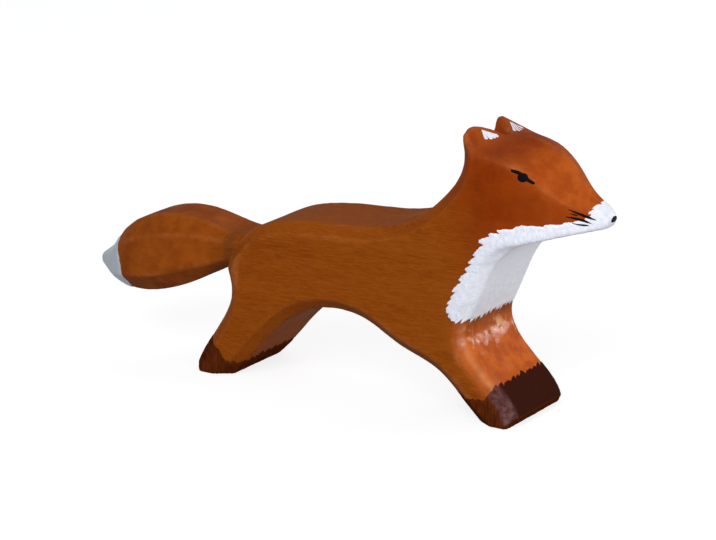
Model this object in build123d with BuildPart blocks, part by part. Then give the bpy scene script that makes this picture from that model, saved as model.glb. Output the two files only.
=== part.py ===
from build123d import *
from math import atan2, sqrt
import os

# A small running fox, sawn from one plank of wood, carved, stained and painted.
# Millimetres, +Z up, nose towards +X, the soles on Z = 0, the origin below the
# middle of the overall box. Each coat of paint is a thin solid on the wood.

# Overall sizes
length = 152.0
height = 73.2
thickness = 28.0

# Carving of the body: how far the bevel along its edges cuts back each face
edge_bevel = 2.8

# Carving of the head, with the notch that parts the ears
cheek_width = 26.2
temple_width = 20.8
snout_width = 11.8
muzzle_width = 3.4
notch_depth = 7.6
notch_width = 15.5

# Carving of the tail
tail_width = 22.0

# Paint: the thickness of a coat, and the marks that the brush leaves
coat = 0.25
dab_bulge = 0.8
pupil_width = 2.1
eye_stroke_width = 0.8
whisker_width = 0.55
ear_stroke_width = 0.9

# How far a cut, or a zone of paint, runs past what it meets
overrun = 10.0

# The side view, as shares of the overall length and height
back_shares = [
    (0.263, 1.000),
    (0.267, 0.956),
    (0.270, 0.902),
    (0.259, 0.833),
    (0.228, 0.754),
    (0.181, 0.675),
    (0.118, 0.626),
    (0.020, 0.608),
    (-0.079, 0.589),
    (-0.135, 0.549),
    (-0.168, 0.480),
    (-0.179, 0.396),
    (-0.178, 0.301),
    (-0.198, 0.201),
    (-0.237, 0.075),
    (-0.254, 0.000),
]
belly_shares = [
    (-0.183, 0.000),
    (-0.158, 0.051),
    (-0.089, 0.205),
    (-0.030, 0.287),
    (0.036, 0.309),
    (0.089, 0.287),
    (0.157, 0.214),
    (0.222, 0.159),
    (0.263, 0.086),
    (0.306, 0.000),
]
chest_shares = [
    (0.378, 0.000),
    (0.356, 0.098),
    (0.318, 0.175),
    (0.287, 0.254),
    (0.279, 0.307),
    (0.295, 0.410),
    (0.327, 0.553),
    (0.384, 0.648),
]
muzzle_shares = [(0.495, 0.704), (0.500, 0.732), (0.500, 1.000)]
heel_shares = [(-0.249, 0.022), (-0.241, 0.000)]
toe_shares = [(0.360, 0.000), (0.370, 0.030)]

# The top of the head slopes from its crown, in the middle, down to each temple
crown_shares = [
    (0.237, 1.086),
    (0.270, 1.044),
    (0.309, 0.981),
    (0.349, 0.971),
    (0.384, 0.955),
    (0.411, 0.927),
    (0.439, 0.871),
    (0.467, 0.810),
    (0.488, 0.774),
    (0.507, 0.710),
]
temple_shares = [
    (0.237, 0.964),
    (0.270, 0.959),
    (0.309, 0.934),
    (0.349, 0.915),
    (0.384, 0.872),
    (0.411, 0.803),
    (0.439, 0.727),
    (0.467, 0.689),
    (0.488, 0.664),
    (0.507, 0.620),
]

# Where along the length the head's widths hold, and how high the cheeks begin
plan_shares = [0.303, 0.355, 0.408, 0.457, 0.500]
throat_share = 0.45

# Where along the length the ears' tips stand, and the way the notch rises
ear_share = 0.266
notch_rise = (0.83, 0, 0.56)

# The edge of the white bib, from the bridge of the nose to the chest
bib_shares = [
    (0.477, 0.797),
    (0.470, 0.765),
    (0.447, 0.723),
    (0.420, 0.709),
    (0.363, 0.690),
    (0.338, 0.683),
    (0.314, 0.653),
    (0.300, 0.567),
    (0.290, 0.523),
    (0.268, 0.485),
    (0.259, 0.444),
    (0.252, 0.392),
    (0.262, 0.352),
]

# The edges of the white tail tip, of the two dark socks and of the black nose
tail_tip_shares = [
    (-0.462, 0.414),
    (-0.449, 0.403),
    (-0.435, 0.389),
    (-0.428, 0.362),
    (-0.424, 0.328),
    (-0.418, 0.273),
    (-0.407, 0.200),
]
hind_sock_shares = [
    (-0.263, 0.150),
    (-0.216, 0.130),
    (-0.204, 0.082),
    (-0.187, 0.066),
    (-0.151, 0.068),
    (-0.118, 0.102),
    (-0.092, 0.109),
]
front_sock_shares = [(0.250, 0.096), (0.280, 0.090), (0.309, 0.090), (0.337, 0.127), (0.368, 0.143)]
nose_shares = [(0.4965, 0.790), (0.4985, 0.712)]

# The eye's stroke with its pupil in the middle, and the three whiskers
eye_shares = [(0.363, 0.895), (0.379, 0.870), (0.394, 0.855)]
whisker_shares = [
    [(0.447, 0.766), (0.466, 0.751), (0.482, 0.734)],
    [(0.441, 0.742), (0.459, 0.732), (0.476, 0.721)],
    [(0.450, 0.721), (0.461, 0.717), (0.472, 0.714)],
]

# The strokes in each ear, seen from above: place along the length, and to the side
# as a share of the thickness. They fan out from the first point to the others
ear_apex_share = (0.280, 0.268)
ear_stroke_shares = [(0.312, 0.143), (0.314, 0.243), (0.310, 0.340)]

# The tail's bevels, as a share of its depth
tail_bevel_share = 0.24

# The tail: place along the length, underside and top as shares of the height,
# and the width there as a share of the tail's own width
tail_shares = [
    (-0.151, 0.400, 0.500, 0.73),
    (-0.224, 0.360, 0.506, 0.76),
    (-0.276, 0.304, 0.530, 0.88),
    (-0.329, 0.258, 0.533, 1.0),
    (-0.382, 0.234, 0.507, 1.0),
    (-0.407, 0.232, 0.482, 0.93),
]
tail_end_shares = [
    (-0.407, 0.232, 0.482, 0.93),
    (-0.431, 0.235, 0.443, 0.80),
    (-0.460, 0.250, 0.371, 0.55),
    (-0.500, 0.288, 0.318, 0.12),
]


def spots(shares):
    """Points of the side view in millimetres."""
    return [(x * length, z * height) for x, z in shares]


def moved_out(points, grow, closed=False):
    """The same points, each moved to the right of the way they run, mitred at corners."""
    before = [points[-1] if closed else points[0]] + points[:-1]
    after = points[1:] + [points[0] if closed else points[-1]]
    moved = []
    for one, here, two in zip(before, points, after):
        came = Vector(*here) - Vector(*one)
        goes = Vector(*two) - Vector(*here)
        came = came.normalized() if came.length else goes.normalized()
        goes = goes.normalized() if goes.length else came
        out = Vector(came.Y + goes.Y, -came.X - goes.X) / (1 + came.dot(goes))
        moved.append((here[0] + grow * out.X, here[1] + grow * out.Y))
    return moved


def plank_runs(grow):
    """The runs of the side view, in order: back, belly, chest, muzzle."""
    runs = [back_shares, belly_shares, chest_shares, muzzle_shares]
    points = []
    for run in runs:
        points += [spot for spot in spots(run) if spot not in points]
    grown = dict(zip(points, moved_out(points, grow, closed=True)))
    return [[grown[spot] for spot in spots(run)] for run in runs]


def plan_spots(side, grow):
    """Points of one side of the head's plan, from full width down to the muzzle."""
    widths = [thickness, cheek_width, temple_width, snout_width, muzzle_width]
    points = [(x * length, side * w / 2) for x, w in zip(plan_shares, widths)]
    return moved_out(points, -side * grow)


def girth(row, grow):
    """A section across the tail, as a sketch: a rectangle with its corners bevelled."""
    x, low, top, width = row
    wide = width * tail_width + 2 * grow
    deep = (top - low) * height + 2 * grow
    with BuildSketch(Plane.YZ.offset(x * length - grow)) as section:
        with Locations((0, (low + top) / 2 * height)):
            Rectangle(wide, deep)
        chamfer(section.vertices(), tail_bevel_share * min(wide, deep))
    return section.sketch


def faceted(sections):
    """A solid through sections with as many corners each, with a flat facet from each
    side of one section to the same side of the next."""
    rings = []
    for section in sections:
        middle = section.bounding_box().center()
        corners = [vertex.center() for vertex in section.vertices()]
        rings.append(sorted(corners, key=lambda at: atan2(at.Z - middle.Z, at.Y - middle.Y)))
    faces = [Face(Wire.make_polygon(ring)) for ring in (rings[0], rings[-1])]
    for one, two in zip(rings, rings[1:]):
        for place in range(len(one)):
            side = [one[place - 1], one[place], two[place], two[place - 1]]
            faces.append(Face(Wire.make_polygon(side)))
    return Solid(Shell(faces))


def carved(grow=0.0):
    """The whole fox, with each of its surfaces moved outwards by grow."""
    half = thickness / 2 + grow
    with BuildPart() as fox:
        # The sawn plank
        back, belly, chest, muzzle = plank_runs(grow)
        with BuildSketch(Plane.XZ.offset(-half)):
            with BuildLine():
                Spline(*back)
                Line(back[-1], belly[0])
                Spline(*belly)
                Line(belly[-1], chest[0])
                Spline(*chest)
                Polyline(chest[-1], *muzzle, back[0])
            make_face()
        extrude(amount=2 * half)

        # The long edges of back, belly and chest are bevelled, in that order. The cut grows by
        # less than the skin, so that the bevel's own face moves out by as much as the others
        cut_back = edge_bevel + (2 - sqrt(2)) * grow
        for place in range(3):
            flanks = fox.faces().filter_by(Axis.Y).sort_by(SortBy.AREA)[-2:]
            edges = [flank.edges().sort_by(SortBy.LENGTH)[-1 - place] for flank in flanks]
            chamfer(edges, cut_back)

        # Heel and toe are bevelled
        for way, shares in ((-1, heel_shares), (1, toe_shares)):
            with BuildSketch(Plane.XZ):
                with BuildLine():
                    run = Line(*moved_out(spots(shares), grow))
                    high, low = (run @ 0, run @ 1) if way < 0 else (run @ 1, run @ 0)
                    beyond = high.X + way * overrun
                    Polyline(low, (low.X, -overrun), (beyond, -overrun), (beyond, high.Y), high)
                make_face()
            extrude(amount=thickness, both=True, mode=Mode.SUBTRACT)

        # Both cheeks are cut away towards the muzzle
        for side in (1, -1):
            with BuildSketch(Plane.XY.offset(throat_share * height)):
                with BuildLine():
                    run = Spline(*plan_spots(side, grow))
                    outer = side * thickness
                    ahead = (run @ 1).X + overrun
                    Polyline(run @ 1, (ahead, (run @ 1).Y), (ahead, outer), ((run @ 0).X, outer), run @ 0)
                make_face()
            extrude(amount=height, mode=Mode.SUBTRACT)

        # The top of the head slopes from the crown to each temple
        over = crown_shares[0][1] * height + overrun
        for side in (1, -1):
            for y, shares in ((0, crown_shares), (thickness / 2, temple_shares)):
                with BuildSketch(Plane.XZ.offset(-side * y)):
                    with BuildLine():
                        run = Spline(*moved_out(spots(shares), -grow))
                        Polyline(run @ 1, ((run @ 1).X, over), ((run @ 0).X, over), run @ 0)
                    make_face()
            loft(ruled=True, mode=Mode.SUBTRACT)

        # A notch that rises towards the brow parts the ears
        across = Plane(
            origin=(ear_share * length, 0, height - notch_depth),
            x_dir=(0, 1, 0),
            z_dir=notch_rise,
        )
        with BuildSketch(across):
            with BuildLine():
                rims = [(-notch_width, 2 * notch_depth), (0, 0), (notch_width, 2 * notch_depth)]
                Polyline(*moved_out(rims, -grow), close=True)
            make_face()
        extrude(amount=overrun, both=True, mode=Mode.SUBTRACT)

        # The tail, bevelled along its length, and its end, cut to a blunt point
        loft([girth(row, grow) for row in tail_shares])
        add(faceted([girth(row, grow) for row in tail_end_shares]))
    return fox.part


def area(edge_shares, *beyond):
    """A sketch of the side view between an edge in straight strokes and the points beyond."""
    with BuildSketch() as sketch:
        with BuildLine():
            Polyline(*spots(edge_shares), *beyond, close=True)
        make_face()
    return sketch.sketch


def strokes(rows, width):
    """A sketch of brush strokes of one width, each along its row of points."""
    with BuildSketch() as sketch:
        for row in rows:
            with BuildLine():
                Spline(*row)
            trace(line_width=width)
    return sketch.sketch


def only_paint():
    """Keeps what lies between the wood and the skin of paint, in the part at hand."""
    add(skin, mode=Mode.INTERSECT)
    add(wood, mode=Mode.SUBTRACT)


wood = carved()
skin = carved(coat)
breadth = thickness / 2 + overrun
ahead = length / 2 + overrun
nose_patch = area(nose_shares, (ahead, 0), (ahead, height))
whisker_strokes = strokes([spots(row) for row in whisker_shares], whisker_width)

# The carved and stained wood
with BuildPart() as carved_body:
    add(wood)

# White paint on the jaw, throat and chest, dabbed on, with its edge in lobes
with BuildPart() as bib_coat:
    with BuildSketch(Plane.XZ):
        edge = spots(bib_shares)
        with BuildLine():
            for one, two in zip(edge, edge[1:]):
                SagittaArc(one, two, -dab_bulge)
            Polyline(edge[-1], (ahead, edge[-1][1]), (ahead, edge[0][1]), edge[0])
        make_face()
        add(nose_patch, mode=Mode.SUBTRACT)
        add(whisker_strokes, mode=Mode.SUBTRACT)
    extrude(amount=breadth, both=True)
    only_paint()

# White paint on the tip of the tail
with BuildPart() as tail_tip_coat:
    with BuildSketch(Plane.XZ):
        add(area(tail_tip_shares, (-ahead, 0), (-ahead, height)))
    extrude(amount=breadth, both=True)
    only_paint()

# Dark paint on each pair of feet, down to the bare soles
with BuildPart() as hind_sock_coat:
    with BuildSketch(Plane.XZ):
        add(area(hind_sock_shares, (0, 0), (-ahead, 0)))
    extrude(amount=breadth, both=True)
    only_paint()

with BuildPart() as front_sock_coat:
    with BuildSketch(Plane.XZ):
        add(area(front_sock_shares, (ahead, 0), (0, 0)))
    extrude(amount=breadth, both=True)
    only_paint()

# Black paint on the end of the muzzle
with BuildPart() as nose_coat:
    with BuildSketch(Plane.XZ):
        add(nose_patch)
    extrude(amount=breadth, both=True)
    only_paint()

carved_body.part.label = "carved_body"
bib_coat.part.label = "bib_coat"
tail_tip_coat.part.label = "tail_tip_coat"
hind_sock_coat.part.label = "hind_sock_coat"
front_sock_coat.part.label = "front_sock_coat"
nose_coat.part.label = "nose_coat"
pieces = [carved_body, bib_coat, tail_tip_coat, hind_sock_coat, front_sock_coat, nose_coat]

# What both sides have: black eyes and whiskers, and white strokes in the ears
for side, hand in ((1, "left"), (-1, "right")):
    with BuildPart() as eye:
        with BuildSketch(Plane.XZ):
            add(strokes([spots(eye_shares)], eye_stroke_width))
            with Locations(spots(eye_shares)[1]):
                Circle(pupil_width / 2)
        extrude(amount=-side * breadth)
        only_paint()
    eye.part.label = f"{hand}_eye"

    with BuildPart() as whiskers:
        with BuildSketch(Plane.XZ):
            add(whisker_strokes)
        extrude(amount=-side * breadth)
        only_paint()
    whiskers.part.label = f"{hand}_whiskers"

    with BuildPart() as ear_strokes:
        with BuildSketch(Plane.XY.offset(height - notch_depth)):
            apex, *ends = [
                (x * length, side * y * thickness) for x, y in [ear_apex_share, *ear_stroke_shares]
            ]
            add(strokes([[apex, end] for end in ends], ear_stroke_width))
        extrude(amount=notch_depth + overrun)
        only_paint()
    ear_strokes.part.label = f"{hand}_ear_strokes"
    pieces += [eye, whiskers, ear_strokes]

os.makedirs("parts", exist_ok=True)
for piece in pieces:
    export_step(piece.part, f"parts/{piece.part.label}.step")
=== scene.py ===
import math
from collections import namedtuple

import bmesh
import bpy
import numpy as np
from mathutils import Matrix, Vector


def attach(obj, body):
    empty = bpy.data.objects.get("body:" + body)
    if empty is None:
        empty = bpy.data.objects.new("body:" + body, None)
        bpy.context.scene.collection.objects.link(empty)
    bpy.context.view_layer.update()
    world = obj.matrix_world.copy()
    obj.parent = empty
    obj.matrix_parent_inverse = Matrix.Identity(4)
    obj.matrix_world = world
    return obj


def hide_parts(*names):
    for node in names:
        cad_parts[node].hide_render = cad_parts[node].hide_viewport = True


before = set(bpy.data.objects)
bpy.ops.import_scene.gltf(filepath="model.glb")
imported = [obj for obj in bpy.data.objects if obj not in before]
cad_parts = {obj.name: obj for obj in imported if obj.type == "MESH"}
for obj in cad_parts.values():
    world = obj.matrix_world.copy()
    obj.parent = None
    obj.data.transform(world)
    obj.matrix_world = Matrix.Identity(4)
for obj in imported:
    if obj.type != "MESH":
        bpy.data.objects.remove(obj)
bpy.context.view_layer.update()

# A small running fox, sawn from one plank of wood, carved, stained and painted.
# The wood is the frame's solid, sanded and marked by the knife. Each coat of paint is a
# thin closed shell, cut out of the wood's surface along the brush's edge and raised from it.
# Shapes are worked out in millimetres in the frame's axes, and made in metres.

MM = 0.001

# The wood's mesh: the size of its cells, and the gap over which loose points are merged
cell = 0.48
merge_gap = 0.001
# Sanding: how far each round moves a point towards its neighbours' mean and back again, and
# the rounds that each place gets
there, back_again = 0.5, 0.45
body_rounds = 24
ear_rounds = 22
head_rounds = 37
root_rounds = 40
# Filling: its rounds, and after how many of them the normals are worked out again
fill_rounds = 55
normals_every = 6
# How deep the knife's hollows and its chatter are, how much the wood is thickened for what
# sanding takes off, and how high the bare soles lie
hollow_depth = 0.10
chatter_depth = 0.09
swelling = 0.15
sole_height = 0.15
# How often the bulge and the end grain are averaged, so that they change softly
bulge_rounds = 6
end_grain_rounds = 12

# The coats of paint: the thick white, the thin brown, and the fine black strokes, which lie
# over the white; how a coat thins towards its edge; and how uneven it is
white_height = 0.20
brown_height = 0.10
eye_height = 0.13
black_height = 0.32
rim_height = 0.05
rim_width = 0.7
fine_rim = 0.12
sunk = 0.03
relief = 0.035
# How far outside a coat's edge the wood is still looked at
coat_reach = 1.6
# A seed of its own for each use of noise and for each edge that a brush leaves
hollow_seed, chatter_seeds, relief_seed = 3, (5, 6), 31
bib_seed, tip_seed, hind_sock_seed, front_sock_seed = 11, 21, 41, 51
root_stain_and_shade_seed, highlight_seeds, ridge_seed = 61, (71, 72), 73

# Points of the wood, their normals, how convex the wood is there (bulge), and triangles
Skin = namedtuple("Skin", "points normals bulge tris")


# Sums over the mesh, as whole arrays

def normals_of(points, tris):
    """Unit normals: each triangle's cross product is added to its corners, then scaled to 1."""
    a, b, c = (points[tris[:, k]] for k in range(3))
    face = np.cross(b - a, c - a)
    total = np.stack([
        sum(np.bincount(tris[:, k], face[:, axis], len(points)) for k in range(3))
        for axis in range(3)
    ], axis=1)
    return total / np.maximum(np.linalg.norm(total, axis=1, keepdims=True), 1e-12)


def edges_of(tris):
    """Each edge of the triangles once, as a pair of points with the lower number first."""
    pairs = np.sort(np.concatenate([tris[:, [0, 1]], tris[:, [1, 2]], tris[:, [2, 0]]]), axis=1)
    return np.unique(pairs, axis=0)


def averaged(values, edges):
    """Each point takes the mean of the values at the far ends of its edges."""
    count = len(values)
    ends = np.concatenate([edges, edges[:, ::-1]])
    share = 1 / np.maximum(np.bincount(ends[:, 0], minlength=count), 1)
    if values.ndim == 1:
        return np.bincount(ends[:, 0], values[ends[:, 1]], count) * share
    return np.stack([
        np.bincount(ends[:, 0], values[ends[:, 1], axis], count) * share
        for axis in range(values.shape[1])
    ], axis=1)


def step(values, low, high):
    """Smoothstep: 0 below low, 1 above high, and 3 t^2 - 2 t^3 in between."""
    t = np.clip((values - low) / (high - low), 0, 1)
    return t * t * (3 - 2 * t)


def noise(points, size, seed):
    """Smooth noise from -1 to 1: random values on a lattice of the given cell size, blended
    along each axis by a smoothstep of the place within the cell."""
    around = 32  # cells after which the lattice repeats
    lattice = np.random.default_rng(seed).uniform(-1, 1, (around,) * 3)
    place = points / size
    low = np.floor(place).astype(int)
    t = place - low
    t = t * t * (3 - 2 * t)
    total = np.zeros(len(points))
    for corner in np.ndindex(2, 2, 2):
        weight = np.prod(np.where(np.array(corner), t, 1 - t), axis=1)
        total += weight * lattice[tuple(((low + corner) % around).T)]
    return total


# The wood

def remeshed(node, size):
    """A frame node as an even mesh: its loose triangles are merged in a copy, which a voxel
    remesh of the given cell size turns into quads, given back as triangles in millimetres."""
    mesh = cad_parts[node].data.copy()
    joined = bmesh.new()
    joined.from_mesh(mesh)
    bmesh.ops.remove_doubles(joined, verts=joined.verts, dist=merge_gap * MM)
    joined.to_mesh(mesh)
    joined.free()
    rough = bpy.data.objects.new("rough", mesh)
    bpy.context.scene.collection.objects.link(rough)
    even = rough.modifiers.new("even", "REMESH")
    even.mode = "VOXEL"
    even.voxel_size = size * MM
    settled = rough.evaluated_get(bpy.context.evaluated_depsgraph_get())
    made = bpy.data.meshes.new_from_object(settled)
    made.calc_loop_triangles()
    points = np.zeros(len(made.vertices) * 3)
    made.vertices.foreach_get("co", points)
    tris = np.zeros(len(made.loop_triangles) * 3, dtype=np.int32)
    made.loop_triangles.foreach_get("vertices", tris)
    bpy.data.objects.remove(rough)
    bpy.data.meshes.remove(made)
    bpy.data.meshes.remove(mesh)
    return points.reshape(-1, 3) / MM, tris.reshape(-1, 3)


# Where the tail grows out of the rump, and how far the blend between them reaches
tail_root = np.array([-27.0, 0.0, 33.5])
root_reach = 9.0
# The ears lie behind the one and the temples and muzzle before the other place along the fox.
# Sanding changes over from the neck to the head, and from the head to the ears, in height
ears_end, temples_start = 47.0, 51.0
neck_heights = (48.0, 54.0)
ear_heights = (62.0, 68.0)
# The front of the forelegs, whose end grain the knife has left uneven
foreleg_front = np.array([46.0, 0.0, 16.0])
foreleg_reach = 17.0


def sanded(points, tris):
    """The surface after sanding: points move halfway to their neighbours' mean and a little
    less far back, which rounds edges and keeps the size. Each place has its own number of
    rounds: few at the ears, more on the body and most on the head and at the tail's root."""
    edges = edges_of(tris)
    near_root = np.linalg.norm(points - tail_root, axis=1)
    at_root = 1 - step(near_root, 0.6 * root_reach, 1.6 * root_reach)
    at_head = step(points[:, 0], ears_end, temples_start) * step(points[:, 2], *neck_heights)
    at_ears = step(points[:, 2], *ear_heights) * (1 - at_head)
    places = ((at_ears, ear_rounds), (at_root, root_rounds), (at_head, head_rounds))
    rounds = body_rounds + sum(share * (count - body_rounds) for share, count in places)
    for turn in range(max(head_rounds, root_rounds)):
        share = np.clip(rounds - turn, 0, 1)[:, None]
        points = points + there * share * (averaged(points, edges) - points)
        points = points - back_again * share * (averaged(points, edges) - points)
    return points, edges


def filled(points, tris, edges):
    """The corner under and beside the tail's root, filled to a round: only points that lie
    below their neighbours' mean rise to it, along their normals."""
    near_root = np.linalg.norm(points - tail_root, axis=1)
    at_root = 1 - step(near_root, 0.8 * root_reach, 1.5 * root_reach)
    for turn in range(fill_rounds):
        if turn % normals_every == 0:
            normals = normals_of(points, tris)
        lift = ((averaged(points, edges) - points) * normals).sum(axis=1)
        points = points + normals * (at_root * np.maximum(lift, 0))[:, None]
    return points


# How much fuller than the plank's outline the back of the hind legs is at each height, and
# between which places along the fox that comes and goes
rear_heights = (0.0, 10.0, 20.0, 24.5, 26.5, 28.5, 31.0, 34.0)
rear_fullness = (0.45, 0.40, 0.45, 0.65, 1.0, 1.5, 1.2, 0.0)
rear_comes, rear_goes = (-41.0, -37.0), (-22.0, -16.0)
# How much lower the valley between the ears is, how wide, and where it comes and goes
valley_depth, valley_width = 0.8, 2.4
valley_comes, valley_goes = (66.0, 69.5), (46.0, 48.5)


def shaped(points, normals):
    """Where the carver left the blank's outline: fuller behind the hind legs, and lower
    between the ears, by a bell curve across them."""
    x, y, z = points.T
    rear = np.interp(z, rear_heights, rear_fullness) * step(-normals[:, 0], 0.05, 0.6)
    rear *= step(x, *rear_comes) * (1 - step(x, *rear_goes))
    valley = valley_depth * np.exp(-(y / valley_width) ** 2) * step(z, *valley_comes)
    valley = valley * (1 - step(x, *valley_goes))
    return points - np.stack([rear, 0 * x, valley], axis=1)


# The size of the knife's hollows, which are longer along the grain, and of its chatter
hollow_size, hollow_stretch = 6.5, [0.6, 1, 1]
chatter_sizes = (2.1, 1.2)


def carved(points, normals):
    """The surface moved along its normals: an even swelling, shallow hollows that the knife
    leaves by slow noise all over, and finer chatter where the end grain faces forwards on
    the forelegs."""
    depth = hollow_depth * noise(points * hollow_stretch, hollow_size, hollow_seed)
    away = np.linalg.norm(points - foreleg_front, axis=1)
    forwards = step(normals[:, 0], 0.2, 0.7) * (1 - step(away, 0.6 * foreleg_reach, foreleg_reach))
    broad, fine = (noise(points, *kind) for kind in zip(chatter_sizes, chatter_seeds))
    depth += chatter_depth * forwards * (broad + 0.6 * fine)
    return points + normals * (depth + swelling)[:, None]


def make_wood():
    """The whole wood as a skin, which leaves room for paint under the soles. A point is convex
    by as much as it stands off its neighbours' mean along its normal, averaged a few times
    and in shares of the cell."""
    points, tris = remeshed("carved_body", cell)
    points, edges = sanded(points, tris)
    points = shaped(points, normals_of(points, tris))
    points = filled(points, tris, edges)
    points = carved(points, normals_of(points, tris))
    points[:, 2] = np.maximum(points[:, 2], sole_height)
    normals = normals_of(points, tris)
    bulge = ((points - averaged(points, edges)) * normals).sum(axis=1) / cell
    for _ in range(bulge_rounds):
        bulge = averaged(bulge, edges)
    return Skin(points, normals, bulge[:, None], tris)


# Cutting paint out of the wood's skin

def finer(skin):
    """Each triangle becomes four, with a new point halfway along each edge."""
    tris = skin.tris
    count = len(skin.points)
    sides = np.sort(np.stack([tris[:, [0, 1]], tris[:, [1, 2]], tris[:, [2, 0]]], axis=1), axis=2)
    keys = sides[:, :, 0].astype(np.int64) * count + sides[:, :, 1]
    unique, where = np.unique(keys.ravel(), return_inverse=True)
    one, two = unique // count, unique % count
    ab, bc, ca = (where.reshape(-1, 3)[:, k] + count for k in range(3))
    a, b, c = tris.T
    parts = [(a, ab, ca), (ab, b, bc), (ca, bc, c), (ab, bc, ca)]
    values = [np.concatenate([each, (each[one] + each[two]) / 2]) for each in skin[:3]]
    return Skin(*values, np.concatenate([np.stack(part, axis=1) for part in parts]))


def used(skin, tris):
    """Only the given triangles of a skin, and the points that they use."""
    kept, again = np.unique(tris.ravel(), return_inverse=True)
    return Skin(*(each[kept] for each in skin[:3]), again.reshape(-1, 3))


def clipped(skin, value):
    """The skin where value is above zero. A triangle that straddles zero is cut along the
    line where the value, taken as even along each edge, is zero."""
    tris = skin.tris
    count = len(skin.points)
    inside = value[tris] > 0
    score = inside.sum(axis=1)
    rolled = {}
    for kind, odd in ((1, inside), (2, ~inside)):
        rows = tris[score == kind]
        first = odd[score == kind].argmax(axis=1)
        turns = (first[:, None] + np.arange(3)) % 3
        rolled[kind] = np.take_along_axis(rows, turns, axis=1)
    cut = np.concatenate([rolled[kind][:, [0, far]] for kind in (1, 2) for far in (1, 2)])
    pair = np.sort(cut, axis=1)
    unique, where = np.unique(pair[:, 0].astype(np.int64) * count + pair[:, 1], return_inverse=True)
    one, two = unique // count, unique % count
    share = (value[one] / (value[one] - value[two]))[:, None]
    where = where + count
    ones, twos = len(rolled[1]), len(rolled[2])
    ab1, ac1 = where[:ones], where[ones:2 * ones]
    ab2, ac2 = where[2 * ones:2 * ones + twos], where[2 * ones + twos:]
    kept = np.concatenate([
        tris[score == 3],
        np.stack([rolled[1][:, 0], ab1, ac1], axis=1),
        np.stack([ab2, rolled[2][:, 1], rolled[2][:, 2]], axis=1),
        np.stack([ab2, rolled[2][:, 2], ac2], axis=1),
    ])
    values = [
        np.concatenate([each, each[one] + share * (each[two] - each[one])]) for each in skin[:3]
    ]
    return used(Skin(*values, kept), kept)


def shell(skin, height):
    """A closed shell: the skin raised by height along its normals, the skin sunk a little
    into the wood and turned over, and a wall along each edge that only one triangle has."""
    points, tris = skin.points, skin.tris
    normals = skin.normals / np.linalg.norm(skin.normals, axis=1, keepdims=True)
    count = len(points)
    outer = points + normals * height[:, None]
    inner = points - normals * sunk
    ways = np.concatenate([tris[:, [0, 1]], tris[:, [1, 2]], tris[:, [2, 0]]]).astype(np.int64)
    open_edge = ~np.isin(ways[:, 0] * count + ways[:, 1], ways[:, 1] * count + ways[:, 0])
    start, end = ways[open_edge].T
    walls = [(end, start, start + count), (end, start + count, end + count)]
    return (
        np.concatenate([outer, inner]),
        np.concatenate([tris, tris[:, ::-1] + count] + [np.stack(wall, axis=1) for wall in walls]),
    )


def beside(spots, line):
    """How far spots lie to the left of a line of straight runs, below zero on its right, and
    the length along the line up to the nearest place on it."""
    line = np.array(line, dtype=float)
    run = line[1:] - line[:-1]
    size = np.linalg.norm(run, axis=1)
    gap = spots[:, None, :] - line[:-1]
    share = np.clip((gap * run).sum(axis=2) / size**2, 0, 1)
    off = gap - share[:, :, None] * run
    away = np.linalg.norm(off, axis=2)
    near = away.argmin(axis=1)
    rows = np.arange(len(spots))
    turn = run[near, 0] * off[rows, near, 1] - run[near, 1] * off[rows, near, 0]
    passed = np.concatenate([[0], np.cumsum(size)])[near] + share[rows, near] * size[near]
    return np.sign(turn) * away[rows, near], passed


# How many heights and lengths are drawn for an edge's teeth before they repeat
drawn = 512


def dabs(place, seed, lean=0.5, round_by=2.0):
    """Teeth along an edge, from 0 to 1: each whole number of place starts one dab of its own
    height, which rises to lean of its width and falls again. round_by 1 gives straight
    flanks, and 2 the rounder flanks of half an ellipse."""
    heights = np.random.default_rng(seed).uniform(0.45, 1.0, drawn)
    place = place + 0.22 * np.sin(place * 1.7 + seed)
    which = np.floor(place).astype(int)
    t = place - which
    t = np.where(t < lean, t / lean, (1 - t) / (1 - lean))
    return heights[which % drawn] * np.clip(1 - (1 - t) ** round_by, 0, 1) ** (1 / round_by)


def spikes(place, seed):
    """Pointed bristle marks along an edge, from 0 to 1, one to each whole number of place and
    each of its own length."""
    lengths = np.random.default_rng(seed).uniform(0.3, 1.0, drawn)
    place = place + 0.3 * np.sin(place * 1.3 + seed)
    which = np.floor(place).astype(int)
    return lengths[which % drawn] * (1 - np.abs(2 * (place - which) - 1))


def on_side(points, side):
    """Above zero on one side of the fox: side is -1 for its right and 1 for its left."""
    return side * points[:, 1]


# The white bib: its edge in the side view, from over the muzzle round the cheek and down
# to the chest. What lies on its left is painted.
bib_line = [
    (90.0, 58.6), (73.8, 57.7), (72.6, 56.9), (71.9, 55.3), (71.9, 54.2), (70.3, 53.6),
    (68.0, 52.9), (65.2, 52.3), (61.6, 52.0), (57.5, 51.7), (53.3, 50.4), (49.6, 48.8),
    (47.3, 46.3), (45.3, 43.0), (43.6, 39.4), (41.0, 35.4), (39.2, 31.6), (38.1, 28.6),
    (38.4, 26.4), (40.3, 25.3), (42.2, 25.5), (90.0, 25.7),
]
# How wide and how high the brush's dabs are along that edge: the length run so far in
# millimetres, the width of a dab and its height
bib_dabs = np.array([
    (0.0, 1.5, 0.9), (21.0, 1.6, 1.0), (24.0, 2.2, 0.5), (28.0, 5.0, 0.55), (38.0, 5.0, 0.75),
    (41.0, 3.6, 1.2), (46.0, 3.0, 1.75), (62.0, 2.8, 1.7), (66.5, 1.8, 0.9), (70.0, 1.3, 0.6),
])
# How far the tips of the dabs hang back along the edge, for each millimetre outwards
hook = 0.7
# The small teeth on each dab, as a share of its height and by their number, and the hairs
tooth_share, tooth_count = 0.22, 3.1
hair_length, hair_width = 0.10, 0.45
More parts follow.
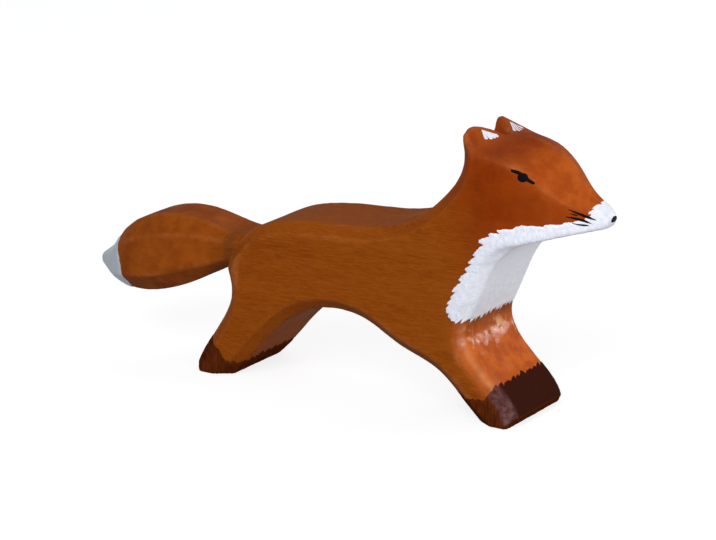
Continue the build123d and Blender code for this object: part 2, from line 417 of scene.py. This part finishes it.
# The bristle marks under the chest: their width, their length and their slant, and between
# which places along the fox and heights they take over from the dabs
bristle_width, bristle_length, bristle_slant = 0.85, 1.9, 0.6
bristles_come, bristles_go = (39.0, 41.5), (27.5, 31.0)
# The length of the bib's line up to which its dabs are counted, and the steps of that count
line_length, count_step = 140, 0.1


def dab_places(run):
    """The number of the dab at each length run along the bib's edge, and its height: the
    number grows by one over each dab's width."""
    runs, widths, heights = bib_dabs.T
    fine = np.linspace(0, line_length, round(line_length / count_step) + 1)
    count = np.concatenate([[0], np.cumsum(count_step / np.interp(fine[1:], runs, widths))])
    return np.interp(run, fine, count), np.interp(run, runs, heights)


def bib_area(points):
    """Left of the bib's line, plus hooked dabs on the cheek and neck and bristles below."""
    x, y, z = points.T
    gap, run = beside(points[:, [0, 2]], bib_line)
    place, height = dab_places(run + hook * gap)
    edge = height * (dabs(place, bib_seed, 0.80, 1.6) - 0.45)
    teeth = tooth_share * height * (dabs(place * tooth_count, bib_seed + 1, 0.7, 1.0) - 0.5)
    edge += teeth + hair_length * spikes(run / hair_width, bib_seed + 2)
    below = step(x, *bristles_come) * (1 - step(z, *bristles_go))
    marks = spikes((y - bristle_slant * z) / bristle_width, bib_seed + 3)
    marks = bristle_length * (marks - 0.35)
    return gap + (1 - below) * edge + below * marks, np.stack([run + y, gap], axis=1)


# The tail's white tip: how far back its edge lies at each angle from the tail's top, the
# height of the tail's middle there, and how far out its skin lies
tip_edge = [(0, -69.5), (28, -68.2), (50, -66.0), (90, -64.6), (130, -63.1), (180, -62.5)]
tail_height = 24.0
tail_radius = 9.0


def tip_area(points):
    """Behind the edge, which wavers a little."""
    x, y, z = points.T
    angle = np.degrees(np.arctan2(np.abs(y), z - tail_height))
    along = np.arctan2(y, z - tail_height) * tail_radius
    edge = np.interp(angle, *np.array(tip_edge).T) + 0.16 * noise(points, 1.4, tip_seed)
    edge += 0.4 * (dabs(along / 2.6, tip_seed + 1, 0.3) - 0.5)
    return edge - x, np.stack([along, x], axis=1)


# The socks: how high their edges lie at each place along the fox
hind_edge = [
    (-40.0, 11.2), (-34.0, 9.8), (-32.0, 8.3), (-30.3, 7.3), (-29.0, 5.9), (-27.6, 4.6),
    (-25.8, 4.0), (-24.0, 4.3), (-22.5, 5.3), (-18.0, 6.5),
]
front_edge = [
    (38.0, 6.6), (43.4, 6.6), (46.5, 6.5), (48.7, 7.1), (49.8, 8.2), (50.6, 10.1),
    (52.0, 10.6), (56.0, 10.7),
]
# The tufts on those edges: the widths of a lobe and of the broad and the fine flames, the
# heights of lobes and flames, and how far the edge is lowered to make up for them
lobe_width, flame_width, fine_width = 2.7, 1.0, 0.42
lobe_height, flame_height, tuft_drop = 1.2, 0.50, 1.0


def sock_area(points, edge, seed):
    """Below the edge, raised by tufts of the brush, on the edge's own half of the fox."""
    x, y, z = points.T
    along = 0.8 * x + y
    lobes = dabs(along / lobe_width, seed, 0.7, 1.5)
    flames = spikes((along + 0.3 * z) / flame_width, seed + 1)
    flames = flames + 0.6 * spikes((along - 0.3 * z) / fine_width, seed + 2)
    top = np.interp(x, *np.array(edge).T) + lobe_height * lobes + flame_height * flames
    own_half = x * np.sign(edge[0][0])
    return np.minimum(top - tuft_drop - z, own_half), np.stack([along, z], axis=1)


def stroke_area(spots, line, thin, thick, lean=1.0):
    """Within a stroke along a line, whose half width goes from thin to thick and back by a
    sine of the way along it. A lean above 1 moves the thickest place towards its end."""
    gap, run = beside(spots, line)
    share = np.clip(run / run_length(line), 0, 1)
    half = thin + (thick - thin) * np.sin(math.pi * share**lean) ** 0.6
    return half - np.abs(gap)


def run_length(line):
    """The length of a line of straight runs."""
    return np.linalg.norm(np.diff(np.array(line, dtype=float), axis=0), axis=1).sum()


# The eye in the side view: the line of the lid, half its width at the ends and in the
# middle, the pupil below it, and how far from the fox's middle the eye begins
lid_line = [(55.0, 65.4), (56.4, 65.0), (57.8, 64.3), (59.0, 63.2), (60.1, 62.6)]
lid_halves = (0.30, 0.46)
pupil = (57.6, 63.8)
pupil_radius = 1.2
eye_from = 3.0


def eye_area(points, side):
    """The lid's stroke and the pupil's round dab together."""
    spots = points[:, [0, 2]]
    lid = stroke_area(spots, lid_line, *lid_halves)
    dab = pupil_radius - np.linalg.norm((spots - pupil) * [1.0, 1.08], axis=1)
    value = np.minimum(np.maximum(lid, dab), on_side(points, side) - eye_from)
    return value, spots


# The whiskers in the side view, half their width in the middle and at the ends, and how far
# from the fox's middle they begin
whisker_lines = [
    [(67.6, 56.2), (69.2, 55.4), (70.9, 54.5), (73.3, 53.5)],
    [(67.1, 54.4), (69.3, 53.9), (70.9, 53.3), (72.3, 52.7)],
    [(68.2, 52.8), (69.9, 52.4), (71.8, 52.2)],
    [(68.0, 55.2), (69.4, 54.7)],
]
whisker_halves = [0.32, 0.32, 0.30, 0.15]
whisker_end = 0.07
whiskers_from = 1.0


def whisker_area(points, side):
    """Thin strokes that taper at both ends and are thickest near the nose."""
    spots = points[:, [0, 2]]
    marks = [
        stroke_area(spots, line, whisker_end, half, 1.5)
        for line, half in zip(whisker_lines, whisker_halves)
    ]
    return np.minimum(np.max(marks, axis=0), on_side(points, side) - whiskers_from), spots


# The strokes in the ears, seen from above: they fan out from near the tip of the ear
ear_fans = {
    -1: [(43.0, -6.5), (46.2, -4.7), (46.0, -5.7), (45.6, -6.7), (44.9, -7.7)],
    1: [(43.3, 7.2), (46.9, 3.1), (46.9, 5.0), (46.2, 7.3), (45.2, 9.8)],
}
# Half the width of a stroke at its wide end, where they run together in the right ear, half
# its width at the apex, and the height above which the ears are painted
ear_halves = {-1: 0.46, 1: 0.38}
ear_apex = 0.05
ears_from = 68.0


def ear_area(points, side):
    """Strokes that widen from the apex of the fan to its rim."""
    spots = points[:, :2]
    apex, *ends = ear_fans[side]
    marks = []
    for end in ends:
        gap, run = beside(spots, [apex, end])
        widening = (run / run_length([apex, end])) ** 1.25
        marks.append(ear_apex + ear_halves[side] * widening - np.abs(gap))
    return np.minimum(np.max(marks, axis=0), points[:, 2] - ears_from), spots


# The black end of the muzzle: where it begins and how much that leans forwards with height,
# and its lowest and highest edge
nose_front, nose_lean = 75.8, 0.10
nose_low, nose_high = 52.2, 54.4


def nose_area(points):
    """The front of the muzzle between two heights."""
    x, y, z = points.T
    ahead = x - nose_front - nose_lean * (z - nose_low)
    value = np.minimum(np.minimum(ahead, nose_high - z), z - nose_low)
    return value, np.stack([y, z], axis=1)


# The nodes of a material, by short calls

class Nodes:
    """Adds nodes to one tree and joins them."""

    def __init__(self, tree):
        self.tree = tree
        tree.nodes.clear()

    def join(self, value, socket):
        """A socket is linked, and anything else is set as the socket's own value."""
        if isinstance(value, bpy.types.NodeSocket):
            self.tree.links.new(value, socket)
        else:
            socket.default_value = value

    def add(self, kind, inputs=None, **settings):
        node = self.tree.nodes.new(kind if kind.startswith("Node") else "ShaderNode" + kind)
        for key, value in settings.items():
            setattr(node, key, value)
        for name, value in (inputs or {}).items():
            self.join(value, node.inputs[name])
        return node

    def maths(self, operation, *values):
        return self.add("Math", dict(enumerate(values)), operation=operation).outputs[0]

    def times(self, vector, factors):
        """A vector times another, part by part."""
        return self.add("VectorMath", {0: vector, 1: factors}, operation="MULTIPLY").outputs[0]

    def spread(self, value, low, high, to_low=0.0, to_high=1.0):
        """A value between low and high becomes one between two others, and stops there."""
        inputs = {
            "Value": value, "From Min": low, "From Max": high, "To Min": to_low, "To Max": to_high,
        }
        return self.add("MapRange", inputs, interpolation_type="SMOOTHSTEP").outputs[0]

    def mix(self, share, one, two):
        node = self.add("Mix", data_type="RGBA", blend_type="MIX")
        self.join(share, node.inputs[0])
        self.join(one, node.inputs[6])
        self.join(two, node.inputs[7])
        return node.outputs[2]

    def tint(self, colour, mask, strength, other):
        """A colour with another mixed in by a mask and its strength."""
        return self.mix(self.maths("MULTIPLY", mask, strength), colour, other)

    def noise(self, vector, scale, detail=3.0, rough=0.55):
        inputs = {"Vector": vector, "Scale": scale, "Detail": detail, "Roughness": rough}
        return self.add("TexNoise", inputs).outputs["Fac"]


def node_group(name, inputs, outputs):
    """An empty shader group with named sockets, as its nodes, its inputs and its output."""
    tree = bpy.data.node_groups.new(name, "ShaderNodeTree")
    kinds = {"value": "NodeSocketFloat", "vector": "NodeSocketVector", "colour": "NodeSocketColor"}
    for title, (kind, start) in inputs.items():
        socket = tree.interface.new_socket(name=title, in_out="INPUT", socket_type=kinds[kind])
        if start is not None:
            socket.default_value = start
    for title, kind in outputs.items():
        tree.interface.new_socket(name=title, in_out="OUTPUT", socket_type=kinds[kind])
    nodes = Nodes(tree)
    return nodes, nodes.add("NodeGroupInput").outputs, nodes.add("NodeGroupOutput").inputs


def wood_grain_group():
    """Streaks and pores that run along X, and broad bands of growth across Z and Y."""
    nodes, given, out = node_group(
        "wood grain",
        {"Vector": ("vector", None), "Streak Length": ("value", 9.0),
         "Streak Width": ("value", 0.5)},
        {"Streaks": "value", "Pores": "value", "Bands": "value"},
    )
    along = nodes.maths("DIVIDE", 1 / MM, given["Streak Length"])
    across = nodes.maths("DIVIDE", 1 / MM, given["Streak Width"])
    stretch = nodes.add("CombineXYZ", {"X": along, "Y": across, "Z": across}).outputs[0]
    vector = nodes.times(given["Vector"], stretch)
    nodes.join(nodes.spread(nodes.noise(vector, 1.0, 4.0, 0.6), 0.3, 0.7), out["Streaks"])
    fine = nodes.noise(vector, 2.6, 2.0, 0.5)
    nodes.join(nodes.spread(fine, 0.57, 0.70), out["Pores"])
    slow = nodes.times(given["Vector"], (18.0, 110.0, 230.0))
    nodes.join(nodes.spread(nodes.noise(slow, 1.0, 3.0, 0.5), 0.32, 0.68), out["Bands"])
    return nodes.tree


def mottle_group():
    """One colour wandering into another in soft patches."""
    nodes, given, out = node_group(
        "mottle",
        {"Vector": ("vector", None), "Patch Size": ("value", 8.0), "One": ("colour", None),
         "Two": ("colour", None), "Sharpness": ("value", 0.2)},
        {"Color": "colour", "Mask": "value"},
    )
    scale = nodes.maths("DIVIDE", 1 / MM, given["Patch Size"])
    field = nodes.noise(given["Vector"], scale, 4.0, 0.55)
    low = nodes.maths("SUBTRACT", 0.5, given["Sharpness"])
    high = nodes.maths("ADD", 0.5, given["Sharpness"])
    mask = nodes.spread(field, low, high)
    nodes.join(nodes.mix(mask, given["One"], given["Two"]), out["Color"])
    nodes.join(mask, out["Mask"])
    return nodes.tree


def rubbed_and_highlit_edge_group():
    """Where a convex edge is paler, partly stain rubbed thin and partly painted highlight,
    broken up by a fine noise and by a slow one.
    """
    nodes, given, out = node_group(
        "rubbed and highlit edges",
        {"Vector": ("vector", None), "Convex": ("value", 0.0), "From": ("value", 0.01),
         "To": ("value", 0.05)},
        {"Mask": "value"},
    )
    fine = nodes.spread(nodes.noise(given["Vector"], 900.0, 4.0, 0.6), 0.3, 0.65, 0.35, 1.0)
    slow = nodes.spread(nodes.noise(given["Vector"], 120.0, 2.0, 0.5), 0.42, 0.60, 0.25, 1.0)
    edge = nodes.spread(given["Convex"], given["From"], given["To"])
    nodes.join(nodes.maths("MULTIPLY", nodes.maths("MULTIPLY", fine, slow), edge), out["Mask"])
    return nodes.tree


def brush_group():
    """Bristle marks: noise drawn out along the stroke, as a height and as a mask."""
    nodes, given, out = node_group(
        "brush marks",
        {"Vector": ("vector", None), "Mark Width": ("value", 0.25), "Mark Length": ("value", 2.5)},
        {"Height": "value", "Mask": "value"},
    )
    narrow = nodes.maths("DIVIDE", 1.0, given["Mark Width"])
    long = nodes.maths("DIVIDE", 1.0, given["Mark Length"])
    stretch = nodes.add("CombineXYZ", {"X": narrow, "Y": long, "Z": 1.0}).outputs[0]
    vector = nodes.times(given["Vector"], stretch)
    marks = nodes.noise(vector, 1.0, 3.0, 0.6)
    nodes.join(marks, out["Height"])
    nodes.join(nodes.spread(marks, 0.35, 0.65), out["Mask"])
    return nodes.tree


grain_group = wood_grain_group()
patch_group = mottle_group()
edge_group = rubbed_and_highlit_edge_group()
mark_group = brush_group()


def start_material(name):
    """A new material with its nodes, and the coordinates of the object."""
    material = bpy.data.materials.new(name)
    material.use_nodes = True
    nodes = Nodes(material.node_tree)
    place = nodes.add("TexCoord").outputs["Object"]
    return material, nodes, place


def finish_material(nodes, colour, rough, height, depth, wax=None, **constants):
    """The Principled shader with its colour, roughness and bump, the weight of its coat of
    wax where that changes over the surface, and plain constants on its own sockets."""
    bump = nodes.add("Bump", {"Height": height, "Strength": 1.0, "Distance": depth * MM})
    inputs = {"Base Color": colour, "Roughness": rough, "Normal": bump.outputs[0]}
    shader = nodes.add("BsdfPrincipled", inputs)
    if wax is not None:
        nodes.join(wax, shader.inputs["Coat Weight"])
    for title, value in constants.items():
        shader.inputs[title.replace("_", " ")].default_value = value
    nodes.add("OutputMaterial", {"Surface": shader.outputs[0]})


def group(nodes, tree, inputs):
    """A group placed in a material with its own values."""
    node = nodes.add("Group", node_tree=tree)
    for title, value in inputs.items():
        nodes.join(value, node.inputs[title])
    return node.outputs


def attribute(nodes, title):
    """A value that is kept at the points of the mesh."""
    return nodes.add("Attribute", attribute_name=title, attribute_type="GEOMETRY").outputs["Fac"]


def patches(nodes, place, size, one, two, sharpness=0.2):
    """The colour of one stain wandering into another."""
    inputs = {"Vector": place, "Patch Size": size, "Sharpness": sharpness, "One": one, "Two": two}
    return group(nodes, patch_group, inputs)["Color"]


def brush_marks(nodes, width, length):
    """The marks of a brush, laid along a coat's brush map."""
    brush = nodes.add("UVMap", uv_map="brush").outputs[0]
    return group(nodes, mark_group, {"Vector": brush, "Mark Width": width, "Mark Length": length})


def stained_wood():
    """Red-brown stain that the wood has drunk in, under a thin wax: fine dark streaks along
    the grain, redder on the head, blotchy on the tail, and lighter, more orange and more
    polished on the end grain, except where it looks down, which is painted shade. Ridges
    are paler, partly stain rubbed thin and partly painted highlight. Cream spots and streaks
    of painted highlight lie on the forelegs' fronts, and painted shade with some pooled
    stain darkens the crease at the tail's root."""
    material, nodes, place = start_material("stained wood")
    grain = group(nodes, grain_group, {"Vector": place, "Streak Length": 3.2, "Streak Width": 0.27})
    colour = nodes.mix(grain["Streaks"], (0.195, 0.038, 0.0012, 1), (0.290, 0.067, 0.0042, 1))
    colour = nodes.tint(colour, grain["Bands"], 0.40, (0.31, 0.074, 0.0060, 1))
    red = patches(nodes, place, 6.0, (0.205, 0.026, 0.0010, 1), (0.262, 0.038, 0.0016, 1))
    blotchy = patches(nodes, place, 4.5, (0.195, 0.037, 0.0030, 1), (0.305, 0.071, 0.0065, 1), 0.24)
    orange = patches(nodes, place, 3.5, (0.42, 0.074, 0.010, 1), (0.57, 0.122, 0.017, 1), 0.18)
    colour = nodes.mix(attribute(nodes, "head"), colour, red)
    colour = nodes.mix(attribute(nodes, "tail"), colour, blotchy)
    # Orange end grain, left out where faces look down, as painted shade
    colour = nodes.mix(attribute(nodes, "lit_end_grain"), colour, orange)
    colour = nodes.tint(colour, grain["Pores"], 0.30, (0.105, 0.020, 0.0020, 1))
    convex = {"Vector": place, "Convex": attribute(nodes, "convex"), "From": 0.016, "To": 0.055}
    wear_and_sheen = group(nodes, edge_group, convex)
    # Convex edges paler: partly stain rubbed thin, partly painted highlight
    colour = nodes.tint(colour, wear_and_sheen["Mask"], 0.34, (0.54, 0.19, 0.065, 1))
    # Painted highlights: cream spots and the pale streak on each foreleg's ridge
    colour = nodes.mix(attribute(nodes, "painted_highlight"), colour, (0.80, 0.43, 0.21, 1))
    # Painted shade, with some pooled stain, in the crease at the tail's root
    colour = nodes.mix(attribute(nodes, "shade"), colour, (0.075, 0.034, 0.015, 1))
    rough = nodes.spread(grain["Streaks"], 0.0, 1.0, 0.60, 0.50)
    height = nodes.maths("ADD", grain["Streaks"], nodes.maths("MULTIPLY", grain["Pores"], -0.8))
    polished = nodes.spread(nodes.noise(place, 240.0, 2.0, 0.5), 0.36, 0.60, 0.35, 1.0)
    polished = nodes.maths("MULTIPLY", attribute(nodes, "polish"), polished)
    wax = nodes.spread(polished, 0.0, 1.0, 0.05, 0.17)
    finish_material(
        nodes, colour, rough, height, 0.03, wax, Coat_Roughness=0.18, Specular_IOR_Level=0.0
    )
    return material


def white_paint(name, clean, dull, line, patch):
    """Thick white paint, with bristle marks that run away from its edge, in which the paint
    lies thin and the colour of the line shows."""
    material, nodes, place = start_material(name)
    marks = brush_marks(nodes, 0.30, 1.3)
    inputs = {"Vector": place, "Patch Size": patch, "Sharpness": 0.22, "One": clean, "Two": dull}
    tone = group(nodes, patch_group, inputs)
    strength = nodes.spread(attribute(nodes, "forward"), 0, 1, 0.42, 0.10)
    colour = nodes.tint(tone["Color"], marks["Mask"], strength, line)
    height = nodes.maths("ADD", marks["Height"], nodes.maths("MULTIPLY", tone["Mask"], 0.3))
    finish_material(nodes, colour, 0.50, height, 0.09, Specular_IOR_Level=0.3)
    return material


def dark_paint():
    """Thin dark brown paint, through which the grain shows, blacker on the end grain, with a
    painted sheen of dusty purple along the bevels."""
    material, nodes, place = start_material("dark brown paint")
    marks = brush_marks(nodes, 0.5, 3.0)
    grain = group(nodes, grain_group, {"Vector": place, "Streak Length": 5.0, "Streak Width": 0.45})
    colour = nodes.mix(marks["Mask"], (0.066, 0.0115, 0.0030, 1), (0.108, 0.023, 0.0050, 1))
    colour = nodes.mix(attribute(nodes, "lit_end_grain"), colour, (0.040, 0.0105, 0.0065, 1))
    colour = nodes.tint(colour, grain["Pores"], 0.4, (0.018, 0.005, 0.0030, 1))
    # Painted sheen: dusty purple where light glances off the bevels
    sheen_purple = patches(nodes, place, 1.1, (0.105, 0.038, 0.034, 1), (0.165, 0.080, 0.078, 1))
    wear_and_sheen = nodes.spread(nodes.noise(place, 800.0, 3.0, 0.6), 0.36, 0.56, 0.45, 1.0)
    colour = nodes.tint(colour, attribute(nodes, "bevel"), wear_and_sheen, sheen_purple)
    finish_material(nodes, colour, 0.55, marks["Height"], 0.04, Specular_IOR_Level=0.0)
    return material


def black_paint():
    """Black paint laid on with a fine brush."""
    material, nodes, _ = start_material("black paint")
    marks = brush_marks(nodes, 0.3, 1.0)
    colour = nodes.mix(marks["Mask"], (0.0030, 0.0012, 0.0016, 1), (0.0085, 0.0035, 0.0045, 1))
    finish_material(nodes, colour, 0.55, marks["Height"], 0.03, Specular_IOR_Level=0.03)
    return material


# Pieces

def make_piece(name, points, tris, material, slot, nodes, uv=None, **values):
    """A mesh in metres with smooth shading, its brush map and its values at the points."""
    mesh = bpy.data.meshes.new(name)
    mesh.vertices.add(len(points))
    mesh.vertices.foreach_set("co", (points * MM).ravel())
    mesh.loops.add(tris.size)
    mesh.loops.foreach_set("vertex_index", tris.ravel())
    mesh.polygons.add(len(tris))
    mesh.polygons.foreach_set("loop_start", np.arange(0, tris.size, 3))
    mesh.polygons.foreach_set("use_smooth", np.ones(len(tris), dtype=bool))
    if uv is not None:
        mesh.uv_layers.new(name="brush").data.foreach_set("uv", uv[tris.ravel()].ravel())
    for title, value in values.items():
        kept = mesh.attributes.new(title, "FLOAT", "POINT")
        kept.data.foreach_set("value", value.astype(np.float32))
    mesh.update(calc_edges=True)
    mesh.validate()
    mesh.materials.append(material)
    piece = bpy.data.objects.new(name, mesh)
    bpy.context.scene.collection.objects.link(piece)
    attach(piece, "root")
    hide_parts(nodes)


def lit_end_grain(normals):
    """How far a face shows end grain: most where it looks forwards and up, and little where it
    looks backwards. Faces that look down are kept dark, which is painted shade."""
    forwards, up = normals[:, 0], normals[:, 2]
    # The factor on up keeps faces that look down dark: painted shade
    return step(forwards, 0.10, 0.65) * step(up, -0.25, 0.30) + 0.3 * step(-forwards, 0.35, 0.90)


def bevelled(normals):
    """Whether a face is a bevel between a side and the front: twice the product of the two
    parts of its normal is 1 there and 0 on both of its neighbours."""
    both = 2 * np.maximum(normals[:, 0], 0) * np.abs(normals[:, 1])
    return step(both, 0.15, 1.00) * step(normals[:, 2], -0.10, 0.20)


# How fine the unevenness of a coat is, across the brush's stroke and along it
relief_sizes = [0.6, 2.0]


def make_coat(wood, name, area, rounds, material, slot, height, rim=rim_width):
    """A coat of paint over the part of the wood where area is above zero: the triangles near
    it are made finer, cut along its edge and raised, less at the rim and uneven inside."""
    value, _ = area(wood.points)
    skin = used(wood, wood.tris[value[wood.tris].max(axis=1) > -coat_reach])
    for _ in range(rounds):
        skin = finer(skin)
    skin = clipped(skin, area(skin.points)[0])
    value, spots = area(skin.points)
    full = step(value, 0, rim)
    rise = rim_height + (height - rim_height) * full
    rise = rise + relief * full * noise(np.c_[spots / relief_sizes, 0 * value], 1.0, relief_seed)
    points, tris = shell(skin, rise)
    facing = {
        "lit_end_grain": lit_end_grain(skin.normals),
        "forward": step(skin.normals[:, 0], 0.30, 0.75),
        "bevel": bevelled(skin.normals),
    }
    values = {title: np.tile(value, 2) for title, value in facing.items()}
    make_piece(name, points, tris, material, slot, name, np.tile(spots, (2, 1)), **values)


# Painted highlights, cream spots where light glints on the forelegs: place, reach and strength
highlight_spots = [
    ((42.7, 3.2, 21.0), (1.5, 3.4, 2.0), 0.95), ((42.4, -11.6, 21.4), (1.8, 2.0, 2.8), 0.72),
    ((44.4, -7.2, 17.2), (0.8, 0.8, 1.2), 0.75), ((43.2, -10.2, 17.6), (0.9, 1.0, 2.2), 0.45),
    ((43.9, -3.0, 18.6), (0.8, 1.2, 0.9), 0.45), ((41.5, -13.0, 17.0), (1.0, 1.2, 2.4), 0.35),
]

# The painted highlight on the ridges of the forelegs: how far it lies from the middle, how
# wide it is, and between which heights it fades from the one strength to the other
ridge_place, ridge_width = 12.5, 0.65
ridge_heights, ridge_strengths = (9.0, 19.0), (0.50, 0.15)

# Painted shade, with some pooled stain, in the crease behind and before the tail's root:
# place along the fox, width, strength, and the heights over which it comes and goes
root_stain_and_shade_bands = [
    (-30.4, 1.7, 0.60, (26.5, 30.0), (34.5, 37.5)), (-26.0, 1.3, 0.30, (27.0, 31.0), (36.0, 40.0)),
]
# Where the head's stain begins, slanting up the neck, and where the tail's ends
head_begins, tail_ends = (56.0, 80.0), (-40.0, -30.0)
# Where the forelegs begin along the fox, and where they end in height
forelegs_from, forelegs_up_to = (36.0, 39.0), (24.0, 27.0)


def painted_highlight_spots(points):
    """Painted highlights: bell-shaped cream spots, broken up by two sizes of noise."""
    spots = sum(
        strength * np.exp(-(np.linalg.norm((points - place) / size, axis=1) ** 2))
        for place, size, strength in highlight_spots
    )
    coarse, fine = (noise(points, size, seed) for size, seed in zip((1.1, 0.6), highlight_seeds))
    return np.clip(spots, 0, 1) * step(coarse + 0.5 * fine, -0.15, 0.55)


def wood_values(wood):
    """What the stain's material needs to know at each point of the wood, from 0 to 1."""
    points, normals = wood.points, wood.normals
    x, y, z = points.T
    head = step(x + 0.5 * z, *head_begins)
    tail = 1 - step(x, *tail_ends)
    # Painted shade, with some pooled stain, in the crease at the tail's root
    root_stain_and_shade = sum(
        strength * np.exp(-((x - place) / width) ** 2) * step(z, *comes) * (1 - step(z, *goes))
        for place, width, strength, comes, goes in root_stain_and_shade_bands
    )
    root_stain_and_shade = root_stain_and_shade * (0.75 + 0.25 * noise(points, 1.6, root_stain_and_shade_seed))
    end = lit_end_grain(normals)
    edges = edges_of(wood.tris)
    for _ in range(end_grain_rounds):
        end = averaged(end, edges)
    # Painted highlights: cream spots on the forelegs' fronts
    painted_highlight = painted_highlight_spots(points)
    # Painted highlight: a pale streak on the ridge by each foreleg's bevel, stronger further down
    on_foreleg = step(x, *forelegs_from) * (1 - step(z, *forelegs_up_to))
    ridge = np.exp(-(((np.abs(y) - ridge_place) / ridge_width) ** 2))
    ridge *= np.interp(z, ridge_heights, ridge_strengths)
    wear_and_sheen = on_foreleg * step(normals[:, 0], 0.30, 0.60)
    ridge *= wear_and_sheen * (0.8 + 0.2 * noise(points, 1.3, ridge_seed))
    return {
        "convex": wood.bulge[:, 0],
        "head": head,
        "tail": 0.85 * tail,
        "shade": root_stain_and_shade,
        "lit_end_grain": end * (1 - 0.25 * head),
        "polish": step(normals[:, 0], 0.30, 0.65) * on_foreleg,
        "painted_highlight": np.maximum(painted_highlight, ridge),
    }


# The whites of the bib and of the tail's tip: clean, dull, and where the paint lies thin, and
# the size of the dull patches
bib_whites = (0.86, 0.885, 0.94, 1), (0.76, 0.785, 0.87, 1), (0.50, 0.51, 0.70, 1), 1.2
tip_whites = (0.44, 0.475, 0.53, 1), (0.39, 0.43, 0.49, 1), (0.40, 0.42, 0.50, 1), 3.0


def make_fox():
    """The wood and its coats of paint, those of the two sides last."""
    wood = make_wood()
    values = wood_values(wood)
    make_piece(
        "carved_wood", wood.points, wood.tris, stained_wood(), "stained_wood", "carved_body",
        **values,
    )
    white_slot, brown_slot, black_slot = "white_paint", "dark_brown_paint", "black_paint"
    bib_white = white_paint("bib white", *bib_whites)
    tip_white = white_paint("tip white", *tip_whites)
    brown, black = dark_paint(), black_paint()

    def hind_sock(points):
        return sock_area(points, hind_edge, hind_sock_seed)

    def front_sock(points):
        return sock_area(points, front_edge, front_sock_seed)

    make_coat(wood, "bib_coat", bib_area, 1, bib_white, white_slot, white_height)
    make_coat(wood, "tail_tip_coat", tip_area, 1, tip_white, white_slot, white_height)
    make_coat(wood, "hind_sock_coat", hind_sock, 1, brown, brown_slot, brown_height)
    make_coat(wood, "front_sock_coat", front_sock, 1, brown, brown_slot, brown_height)
    make_coat(wood, "nose_coat", nose_area, 2, black, black_slot, black_height, fine_rim)
    fine_coats = [
        ("eye", eye_area, black, black_slot, eye_height),
        ("whiskers", whisker_area, black, black_slot, black_height),
        ("ear_strokes", ear_area, bib_white, white_slot, eye_height),
    ]
    for side, hand in ((1, "left"), (-1, "right")):
        for title, area, material, slot, height in fine_coats:
            make_coat(
                wood, f"{hand}_{title}", lambda points: area(points, side), 2, material, slot,
                height, fine_rim,
            )


# The floor, the light and the camera

floor_size = 8.0
white = (1.0, 1.0, 1.0, 1)
floor_pale = (0.30, 0.30, 0.305, 1)
sky_grey = (0.97, 0.985, 1.0, 1)
# How bright the floor glows for rays that show the background, and the soft light all round
floor_glow, soft_light = 0.80, 0.33
# What the lamps are aimed at
lamp_target = (0.0, 0.0, 0.03)


def background_rays(nodes):
    """1 for the rays that show the background, to the camera or in a gloss or a glass."""
    seen = nodes.add("LightPath").outputs
    rays = nodes.maths("MAXIMUM", seen["Is Camera Ray"], seen["Is Glossy Ray"])
    return nodes.maths("MAXIMUM", rays, seen["Is Transmission Ray"])


def make_floor():
    """A pale floor that shows as white, with the fox's shadow on it."""
    mesh = bpy.data.meshes.new("floor")
    half = floor_size / 2
    corners = [(-half, -half, 0), (half, -half, 0), (half, half, 0), (-half, half, 0)]
    mesh.from_pydata(corners, [], [(0, 1, 2, 3)])
    floor = bpy.data.objects.new("floor", mesh)
    bpy.context.scene.collection.objects.link(floor)
    material = bpy.data.materials.new("pale floor")
    material.use_nodes = True
    nodes = Nodes(material.node_tree)
    pale = nodes.add("BsdfDiffuse", {"Color": floor_pale}).outputs[0]
    glow = nodes.add("Emission", {"Color": white, "Strength": floor_glow}).outputs[0]
    both = nodes.add("AddShader", {0: pale, 1: glow}).outputs[0]
    mixed = nodes.add("MixShader", {0: background_rays(nodes), 1: pale, 2: both}).outputs[0]
    nodes.add("OutputMaterial", {"Surface": mixed})
    mesh.materials.append(material)


def make_world():
    """White as the background, and a soft grey as light."""
    world = bpy.data.worlds.new("studio")
    bpy.context.scene.world = world
    world.use_nodes = True
    nodes = Nodes(world.node_tree)
    shown = nodes.add("Background", {"Color": white, "Strength": 1.0}).outputs[0]
    soft = nodes.add("Background", {"Color": sky_grey, "Strength": soft_light}).outputs[0]
    mixed = nodes.add("MixShader", {0: background_rays(nodes), 1: soft, 2: shown}).outputs[0]
    nodes.add("OutputWorld", {"Surface": mixed})


def aim(thing, place, target):
    """Puts a lamp or the camera at a place, looking at a target."""
    thing.location = place
    thing.rotation_mode = "QUATERNION"
    thing.rotation_quaternion = (Vector(target) - Vector(place)).to_track_quat("-Z", "Y")


def make_lamp(name, place, size, power):
    """A square soft lamp aimed at the fox."""
    lamp = bpy.data.lights.new(name, "AREA")
    lamp.size = size
    lamp.energy = power
    thing = bpy.data.objects.new(name, lamp)
    bpy.context.scene.collection.objects.link(thing)
    aim(thing, place, lamp_target)


# The camera of the photograph: where it looks, from where, its lens and its sensor
target = (0.0037, 0.0, 0.030)
azimuth, elevation = math.radians(31.6), math.radians(15.65)
distance = 0.766
lens, sensor = 150.8, 36.0
nearest = 0.01


def make_camera():
    """The camera, away from its target by the distance along azimuth and elevation."""
    level = math.cos(elevation)
    back = (math.sin(azimuth) * level, -math.cos(azimuth) * level, math.sin(elevation))
    camera = bpy.data.cameras.new("camera")
    camera.lens = lens
    camera.sensor_width = sensor
    camera.clip_start = nearest
    thing = bpy.data.objects.new("camera", camera)
    bpy.context.scene.collection.objects.link(thing)
    aim(thing, [t + distance * b for t, b in zip(target, back)], target)
    bpy.context.scene.camera = thing


make_fox()
make_floor()
make_world()
make_lamp("window", (0.20, -0.90, 0.60), 0.7, 7.6)
make_lamp("front", (0.88, -0.54, 0.15), 0.28, 3.2)
make_lamp("far side", (0.53, 0.84, 0.14), 0.20, 3.4)
make_lamp("overhead", (-0.10, 0.70, 0.85), 0.8, 2.0)
make_camera()
bpy.context.scene.view_settings.view_transform = "Standard"

bpy.context.view_layer.update()
